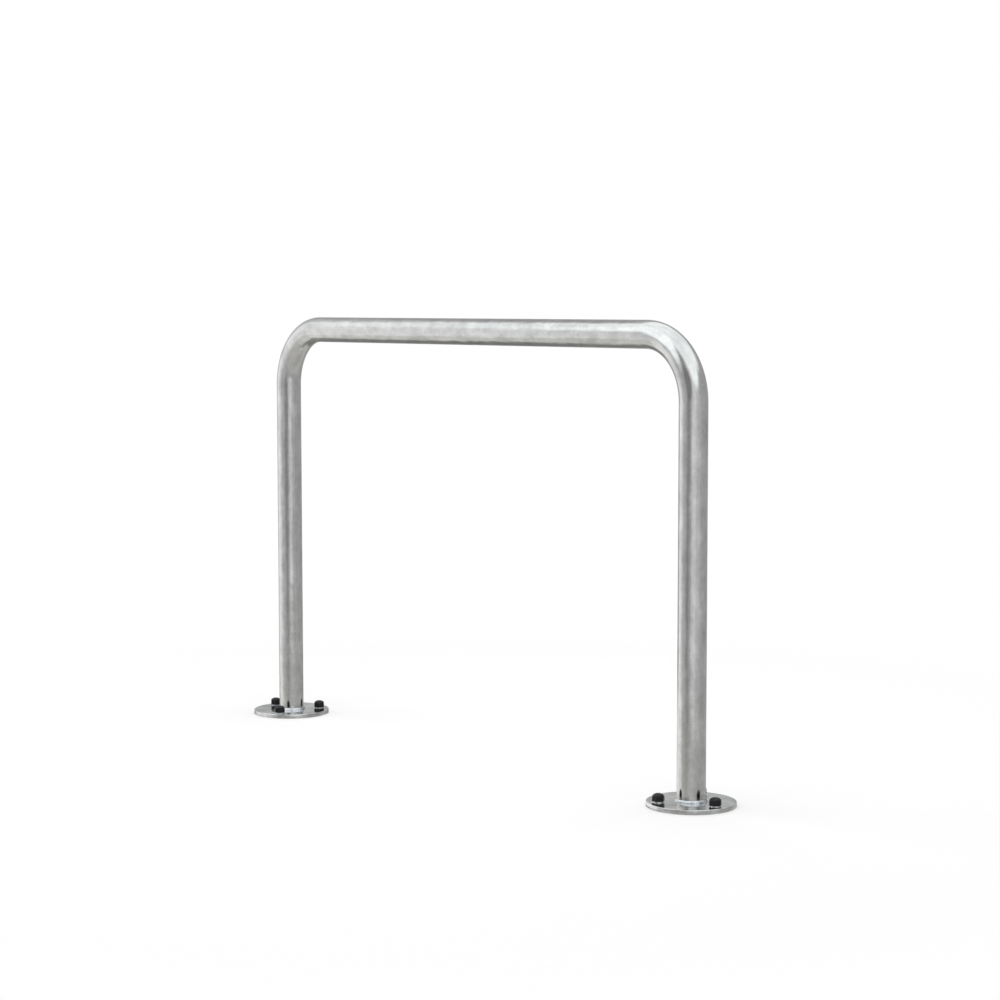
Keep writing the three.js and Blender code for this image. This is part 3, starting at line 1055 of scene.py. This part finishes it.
class RACK_OT_studio(bpy.types.Operator):
    """Set up the floor, the light and the camera"""

    bl_idname = "rack.studio"
    bl_label = "Studio"

    def execute(self, context):
        studio = context.scene.rack_studio
        self.world(context.scene, studio)
        self.floor(studio)
        self.tent()
        self.card()
        self.softbox("overhead_softbox", OVERHEAD_PLACE, OVERHEAD_SIZE, studio.overhead_level)
        self.softbox("left_softbox", LEFT_PLACE, LEFT_SIZE, studio.side_level)
        self.camera(context.scene)
        context.scene.view_settings.view_transform = "Standard"
        return {"FINISHED"}

    def looked_at(self, tree):
        """1 where the camera looks, or a shiny or clear surface does, and 0 for light on matt surfaces."""
        path = add_node(tree, "ShaderNodeLightPath")
        seen = add_node(tree, "ShaderNodeMath", {
            0: path.outputs["Is Camera Ray"], 1: path.outputs["Is Glossy Ray"],
        }, operation="ADD")
        return add_node(tree, "ShaderNodeMath", {
            0: seen, 1: path.outputs["Is Transmission Ray"],
        }, operation="ADD", use_clamp=True)

    def world(self, scene, studio):
        """White where the camera or a shiny surface looks, and a plain level on matt surfaces."""
        world = bpy.data.worlds.new("studio")
        world.use_nodes = True
        scene.world = world
        tree = world.node_tree
        tree.nodes.clear()
        level = add_node(tree, "ShaderNodeMapRange", {
            "Value": self.looked_at(tree), "To Min": studio.fill_level, "To Max": 1.0,
        })
        light = add_node(tree, "ShaderNodeBackground", {"Color": linear("#ffffff"), "Strength": level})
        add_node(tree, "ShaderNodeOutputWorld", {"Surface": light})

    def floor(self, studio):
        """A wide pale floor that keeps the rack's shadow and fades into the white round it."""
        half = FLOOR_HALF
        mesh = bpy.data.meshes.new("floor")
        corners = [(-half, -half, 0), (half, -half, 0), (half, half, 0), (-half, half, 0)]
        mesh.from_pydata(corners, [], [(0, 1, 2, 3)])
        floor = new_piece("floor", mesh)
        material, tree = new_material("studio_floor")
        distance = add_node(tree, "ShaderNodeVectorMath", {0: object_coordinates(tree)}, operation="LENGTH")
        lift = add_node(tree, "ShaderNodeMath", {
            0: self.looked_at(tree), 1: FLOOR_LIFT,
        }, operation="MULTIPLY")
        matt = add_node(tree, "ShaderNodeBsdfDiffuse", {"Color": studio.floor_colour})
        glow = add_node(tree, "ShaderNodeEmission", {"Color": linear("#ffffff"), "Strength": lift})
        both = add_node(tree, "ShaderNodeAddShader", {0: matt, 1: glow})
        clear = add_node(tree, "ShaderNodeBsdfTransparent")
        far = add_node(tree, "ShaderNodeMapRange", {
            "Value": distance.outputs["Value"], "From Min": FLOOR_FADE[0], "From Max": FLOOR_FADE[1],
        }, interpolation_type="SMOOTHSTEP")
        under = add_node(tree, "ShaderNodeNewGeometry").outputs["Backfacing"]
        away = add_node(tree, "ShaderNodeMath", {0: far, 1: under}, operation="MAXIMUM")
        surface = add_node(tree, "ShaderNodeMixShader", {0: away, 1: both, 2: clear})
        add_node(tree, "ShaderNodeOutputMaterial", {"Surface": surface})
        floor.data.materials.append(material)
        floor.visible_glossy = False

    def tent(self):
        """A round tent of pale and grey cloth that only shiny surfaces see. It gives the metal its bands."""
        build = bmesh.new()
        bmesh.ops.create_uvsphere(build, u_segments=TENT_GORES, v_segments=TENT_RINGS, radius=TENT_RADIUS)
        bmesh.ops.translate(build, verts=build.verts, vec=TENT_MIDDLE)
        material, tree = new_material("tent_cloth")
        place = object_coordinates(tree)
        outward = add_node(tree, "ShaderNodeVectorMath", {0: place, 1: TENT_MIDDLE}, operation="SUBTRACT")
        outward = add_node(tree, "ShaderNodeVectorMath", {0: outward}, operation="NORMALIZE")
        parts = add_node(tree, "ShaderNodeSeparateXYZ", {"Vector": outward})
        bearing = add_node(tree, "ShaderNodeMath", {
            0: parts.outputs["Y"], 1: parts.outputs["X"],
        }, operation="ARCTAN2")
        turn = add_node(tree, "ShaderNodeMapRange", {
            "Value": bearing, "From Min": -math.pi, "From Max": math.pi,
        })
        wall = self.greys_round(tree, turn, TENT_WALL, NO_TINT)
        skirt = self.greys_round(tree, turn, TENT_SKIRT, SKIRT_TINT)
        below = add_node(tree, "ShaderNodeMapRange", {
            "Value": parts.outputs["Z"],
            "From Min": math.sin(math.radians(SKIRT_TOP)), "From Max": math.sin(math.radians(SKIRT_FULL)),
        }, interpolation_type="SMOOTHSTEP")
        cloth = add_node(tree, "ShaderNodeMix", {
            "Factor_Float": below, "A_Color": wall, "B_Color": skirt,
        }, data_type="RGBA")
        for bearing, height, start, full, grey, tint in TENT_PATCHES:
            share = self.patch(tree, outward, self.heading(bearing, height), start, full)
            cloth = add_node(tree, "ShaderNodeMix", {
                "Factor_Float": share, "A_Color": cloth, "B_Color": self.tinted(grey, tint),
            }, data_type="RGBA")
        glow = add_node(tree, "ShaderNodeEmission", {"Color": cloth})
        add_node(tree, "ShaderNodeOutputMaterial", {"Surface": glow})
        self.mirrored_only("tent", build, material)

    def card(self):
        """A low pale card beside the right foot, whose metal mirrors it in place of the lit floor."""
        foot = post_middle("right")
        build = bmesh.new()
        columns = []
        for step in range(CARD_STEPS + 1):
            bearing = CARD_BEARING + CARD_START * (step / CARD_STEPS * 2 - 1)
            lower = foot + self.heading(bearing, 0) * CARD_DISTANCE
            columns.append([build.verts.new(lower + Vector((0, 0, up))) for up in (CARD_BOTTOM, CARD_TOP)])
        for left, right in zip(columns, columns[1:]):
            build.faces.new((left[0], left[1], right[1], right[0]))
        material, tree = new_material("pale_card")
        place = object_coordinates(tree)
        outward = add_node(tree, "ShaderNodeVectorMath", {0: place, 1: foot}, operation="SUBTRACT")
        outward = add_node(tree, "ShaderNodeVectorMath", {
            0: outward, "Scale": 1 / CARD_DISTANCE,
        }, operation="SCALE")
        share = self.patch(tree, outward, self.heading(CARD_BEARING, 0), CARD_START, CARD_FULL)
        up = add_node(tree, "ShaderNodeSeparateXYZ", {"Vector": place}).outputs["Z"]
        low = add_node(tree, "ShaderNodeMapRange", {
            "Value": up, "From Min": CARD_TOP, "From Max": CARD_FADE,
        }, interpolation_type="SMOOTHSTEP")
        behind = add_node(tree, "ShaderNodeNewGeometry").outputs["Backfacing"]
        front = add_node(tree, "ShaderNodeMath", {0: 1.0, 1: behind}, operation="SUBTRACT")
        for layer in (low, front):
            share = add_node(tree, "ShaderNodeMath", {0: share, 1: layer}, operation="MULTIPLY")
        glow = add_node(tree, "ShaderNodeEmission", {"Color": (*SKIRT_TINT, 1), "Strength": CARD_GREY})
        clear = add_node(tree, "ShaderNodeBsdfTransparent")
        surface = add_node(tree, "ShaderNodeMixShader", {0: share, 1: clear, 2: glow})
        add_node(tree, "ShaderNodeOutputMaterial", {"Surface": surface})
        self.mirrored_only("card", build, material)

    def patch(self, tree, outward, middle, start, full):
        """A soft round patch: 1 near that direction, and 0 away from it."""
        facing = add_node(tree, "ShaderNodeVectorMath", {0: outward, 1: middle}, operation="DOT_PRODUCT")
        return add_node(tree, "ShaderNodeMapRange", {
            "Value": facing,
            "From Min": math.cos(math.radians(start)), "From Max": math.cos(math.radians(full)),
        }, interpolation_type="SMOOTHSTEP")

    def mirrored_only(self, name, build, material):
        """Sets up a prop with its glowing material, and shows it to shiny surfaces alone."""
        prop = new_piece(name, as_mesh(build, name))
        prop.data.materials.append(material)
        material.cycles.emission_sampling = "NONE"
        prop.visible_camera = False
        prop.visible_diffuse = False
        prop.visible_transmission = False
        prop.visible_shadow = False

    def greys_round(self, tree, turn, greys, tint):
        """A soft run of greys round the tent, each given at its bearing."""
        band = add_node(tree, "ShaderNodeValToRGB", {"Fac": turn})
        band.color_ramp.interpolation = "EASE"
        stops = band.color_ramp.elements
        for bearing, grey in greys.items():
            share = (bearing + 180) / 360
            stop = stops[0] if share == 0 else stops[-1] if share == 1 else stops.new(share)
            stop.color = self.tinted(grey, tint)
        return band

    def tinted(self, grey, tint):
        """A grey with a tint, as a colour with full opacity."""
        return (*(grey * part for part in tint), 1)

    def heading(self, bearing, height):
        """The direction with that bearing and height."""
        turned = Vector((math.cos(math.radians(bearing)), math.sin(math.radians(bearing)), 0))
        return turned * math.cos(math.radians(height)) + Vector((0, 0, math.sin(math.radians(height))))

    def softbox(self, name, place, size, level):
        """A softbox that faces the rack. Its power follows from its area and how bright it looks."""
        light = bpy.data.lights.new(name, "AREA")
        light.shape = "RECTANGLE"
        light.size, light.size_y = size
        light.energy = level * math.pi * size[0] * size[1]
        lamp = bpy.data.objects.new(name, light)
        aim = SOFTBOX_AIM - place
        lamp.matrix_world = Matrix.Translation(place) @ aim.to_track_quat("-Z", "Y").to_matrix().to_4x4()
        lamp.visible_camera = False
        lamp.visible_glossy = False
        bpy.context.scene.collection.objects.link(lamp)

    def camera(self, scene):
        """The photograph's view."""
        data = bpy.data.cameras.new("camera")
        data.lens = CAMERA_LENS
        data.sensor_width = CAMERA_SENSOR
        camera = bpy.data.objects.new("camera", data)
        turn = Matrix.Rotation(CAMERA_TURN, 4, "Z") @ Matrix.Rotation(math.pi / 2 - CAMERA_TILT, 4, "X")
        roll = Matrix.Rotation(CAMERA_ROLL, 4, "Z")
        camera.matrix_world = Matrix.Translation(CAMERA_PLACE) @ turn @ roll
        scene.collection.objects.link(camera)
        scene.camera = camera


class RACK_PT_sidebar(bpy.types.Panel):
    """The rack's sizes, finishes and studio, and the steps that build it"""

    bl_idname = "RACK_PT_sidebar"
    bl_label = "Hoop bike rack"
    bl_space_type = "VIEW_3D"
    bl_region_type = "UI"
    bl_category = "Bike rack"

    def draw(self, context):
        scene = context.scene
        for group in (scene.rack_sizes, scene.rack_finish, scene.rack_studio):
            box = self.layout.box()
            for name in type(group).__annotations__:
                box.prop(group, name)
        for step in STEPS:
            self.layout.operator(step.bl_idname)


GROUPS = {"rack_sizes": RackSizes, "rack_finish": RackFinish, "rack_studio": RackStudio}
STEPS = (
    RACK_OT_hoop_tube,
    RACK_OT_base_plates,
    RACK_OT_foot_welds,
    RACK_OT_anchor_studs,
    RACK_OT_washers,
    RACK_OT_hex_nuts,
    RACK_OT_nut_caps,
    RACK_OT_studio,
)
CLASSES = (*GROUPS.values(), *STEPS, RACK_PT_sidebar)


def register():
    for part in CLASSES:
        bpy.utils.register_class(part)
    for name, group in GROUPS.items():
        setattr(bpy.types.Scene, name, PointerProperty(type=group))


def unregister():
    for name in GROUPS:
        delattr(bpy.types.Scene, name)
    for part in reversed(CLASSES):
        bpy.utils.unregister_class(part)


def main():
    register()
    bpy.ops.rack.hoop_tube()
    bpy.ops.rack.base_plates()
    bpy.ops.rack.foot_welds()
    bpy.ops.rack.anchor_studs()
    bpy.ops.rack.washers()
    bpy.ops.rack.hex_nuts()
    bpy.ops.rack.nut_caps()
    bpy.ops.rack.studio()


if __name__ == "__main__":
    main()
